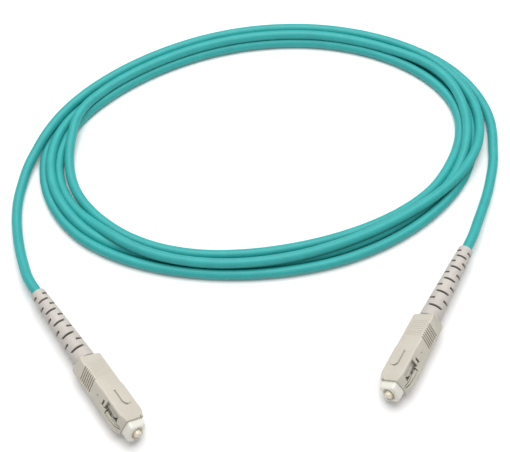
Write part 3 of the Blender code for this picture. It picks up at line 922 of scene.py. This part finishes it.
def noise(material, scale, detail=3.0):
    """Noise in the piece's own space, the scale in waves per metre."""
    place = node_in(material, "ShaderNodeTexCoord")
    made = node_in(material, "ShaderNodeTexNoise")
    made.inputs["Scale"].default_value = scale
    made.inputs["Detail"].default_value = detail
    material.node_tree.links.new(place.outputs["Object"], made.inputs["Vector"])
    return made


def drifting_colour(material, colour, spread, grain):
    """The output of a colour that drifts slowly and carries a fine speckle."""
    links = material.node_tree.links
    drift = node_in(material, "ShaderNodeValToRGB")
    darker = [channel * (1 - spread) for channel in colour]
    lighter = [min(1, channel * (1 + spread)) for channel in colour]
    for element, position, shade in zip(drift.color_ramp.elements, DRIFT_RANGE, (darker, lighter)):
        element.position = position
        element.color = (*shade, 1)
    links.new(noise(material, DRIFT_SCALE).outputs["Fac"], drift.inputs["Fac"])
    speckle = node_in(material, "ShaderNodeMixRGB", blend_type="OVERLAY")
    speckle.inputs["Fac"].default_value = min(1.0, spread * SPECKLE_STRENGTH)
    links.new(drift.outputs["Color"], speckle.inputs["Color1"])
    fine = noise(material, grain * SPECKLE_SCALE, 5)
    links.new(fine.outputs["Fac"], speckle.inputs["Color2"])
    return speckle.outputs["Color"]


def shadowed(material, colour, shadow):
    """The output of a colour that turns to its shadow where the surface isn't open."""
    # Painted shade: the stored openness mixes the colour towards its shadow colour
    depth = node_in(material, "ShaderNodeAttribute", attribute_name="open")
    mix = node_in(material, "ShaderNodeMixRGB", blend_type="MIX")
    mix.inputs["Color1"].default_value = (*shadow, 1)
    material.node_tree.links.new(depth.outputs["Fac"], mix.inputs["Fac"])
    material.node_tree.links.new(colour, mix.inputs["Color2"])
    return mix.outputs["Color"]


def finish_look(name, colour, spread, roughness, grain, bump, metallic=0.0, shadow=None,
                **sockets):
    """A Principled material whose colour and roughness drift, with a fine grain in its surface."""
    material = bpy.data.materials.new(name)
    material.use_nodes = True
    links = material.node_tree.links
    shader = material.node_tree.nodes["Principled BSDF"]
    shader.inputs["Metallic"].default_value = metallic
    for socket, value in sockets.items():
        shader.inputs[socket.replace("_", " ")].default_value = value

    shade = drifting_colour(material, colour, spread, grain)
    if shadow:
        shade = shadowed(material, shade, shadow)
    links.new(shade, shader.inputs["Base Color"])

    rough = node_in(material, "ShaderNodeMapRange")
    rough.inputs["To Min"].default_value = roughness - ROUGHNESS_SPREAD
    rough.inputs["To Max"].default_value = roughness + ROUGHNESS_SPREAD
    smudges = noise(material, grain * SMUDGE_SCALE)
    links.new(smudges.outputs["Fac"], rough.inputs["Value"])
    links.new(rough.outputs["Result"], shader.inputs["Roughness"])

    relief = node_in(material, "ShaderNodeBump")
    relief.inputs["Strength"].default_value = bump
    relief.inputs["Distance"].default_value = GRAIN_HEIGHT
    links.new(noise(material, grain, 2).outputs["Fac"], relief.inputs["Height"])
    links.new(relief.outputs["Normal"], shader.inputs["Normal"])
    return material


def make_looks():
    """The finishes by the record's slot names: colour, spread, roughness, grain, bump."""
    return {
        "aqua_jacket": finish_look("aqua_jacket_look", AQUA, 0.05, 0.54, 2600, 0.25,
                                   Sheen_Weight=0.05),
        "putty_plastic": finish_look("putty_look", PUTTY, 0.025, 0.5, 3600, 0.3,
                                     shadow=PUTTY_SHADOW),
        "white_plastic": finish_look("white_look", WHITE, 0.02, 0.38, 3000, 0.15,
                                     shadow=WHITE_SHADOW, Subsurface_Weight=0.05,
                                     Subsurface_Scale=0.001),
        "zirconia": finish_look("zirconia_look", ZIRCONIA, 0.02, 0.2, 1500, 0.05,
                                Coat_Weight=0.4),
        "boot_elastomer": finish_look("boot_look", BOOT_GREY, 0.06, 0.6, 3200, 0.35,
                                      shadow=BOOT_SHADOW),
        "nickel": finish_look("nickel_look", NICKEL, 0.06, 0.3, 2200, 0.12, metallic=1.0),
        "spring_steel": finish_look("spring_look", SPRING_STEEL, 0.05, 0.28, 4000, 0.1,
                                    metallic=1.0),
        "ptfe_tube": finish_look("tube_look", TUBE_WHITE, 0.02, 0.45, 1500, 0.05,
                                 Transmission_Weight=0.3),
        "buffer_coat": finish_look("buffer_look", BUFFER_AQUA, 0.05, 0.4, 3000, 0.15),
        "aramid": finish_look("aramid_look", ARAMID_YELLOW, 0.16, 0.75, 6000, 0.9,
                              Sheen_Weight=0.3),
        "silica": finish_look("silica_look", SILICA, 0.02, 0.1, 2000, 0.02,
                              Transmission_Weight=0.8),
    }


def finish_kept_nodes(looks):
    """Give each CAD node that still shows inside the connectors its detailed look."""
    for row in frame["record"]["subparts"]:
        node = frame["nodes"][row["node"]]
        if node.hide_render:
            continue
        node.data.materials.clear()
        node.data.materials.append(looks[row["material_slot"]])


# ---------------------------------------------------------------- surroundings

def make_floor():
    bm = bmesh.new()
    bmesh.ops.create_grid(bm, x_segments=1, y_segments=1, size=FLOOR_HALF)
    floor = bpy.data.objects.new("floor", finished(bm, "floor"))
    bpy.context.scene.collection.objects.link(floor)
    look = bpy.data.materials.new("paper")
    look.use_nodes = True
    shader = look.node_tree.nodes["Principled BSDF"]
    shader.inputs["Base Color"].default_value = (*FLOOR_COLOUR, 1)
    shader.inputs["Roughness"].default_value = 0.9
    shader.inputs["Specular IOR Level"].default_value = 0.1
    floor.data.materials.append(look)


def make_lights():
    for name, place, size, power in LAMPS:
        data = bpy.data.lights.new(name, "AREA")
        data.shape = "DISK"
        data.size = size
        data.energy = power
        lamp = bpy.data.objects.new(name, data)
        bpy.context.scene.collection.objects.link(lamp)
        lamp.location = place
        aim = Vector(LAMPS_AIM) - Vector(place)
        lamp.rotation_euler = aim.to_track_quat("-Z", "Y").to_euler()
    world = bpy.data.worlds.new("studio")
    world.use_nodes = True
    background = world.node_tree.nodes["Background"]
    background.inputs["Color"].default_value = (1, 1, 1, 1)
    background.inputs["Strength"].default_value = WORLD_STRENGTH
    bpy.context.scene.world = world
    bpy.context.scene.view_settings.view_transform = "Standard"


make_camera()
looks = make_looks()
make_cord(looks["aqua_jacket"])
for suffix in CONNECTORS:
    make_grip(suffix, looks["putty_plastic"])
    make_plug_frame(suffix, looks["white_plastic"])
    make_ferrule(suffix, looks["zirconia"])
    make_spring(suffix, looks["spring_steel"])
    make_boot(suffix, looks["boot_elastomer"])
finish_kept_nodes(looks)
make_floor()
make_lights()

bpy.context.view_layer.update()
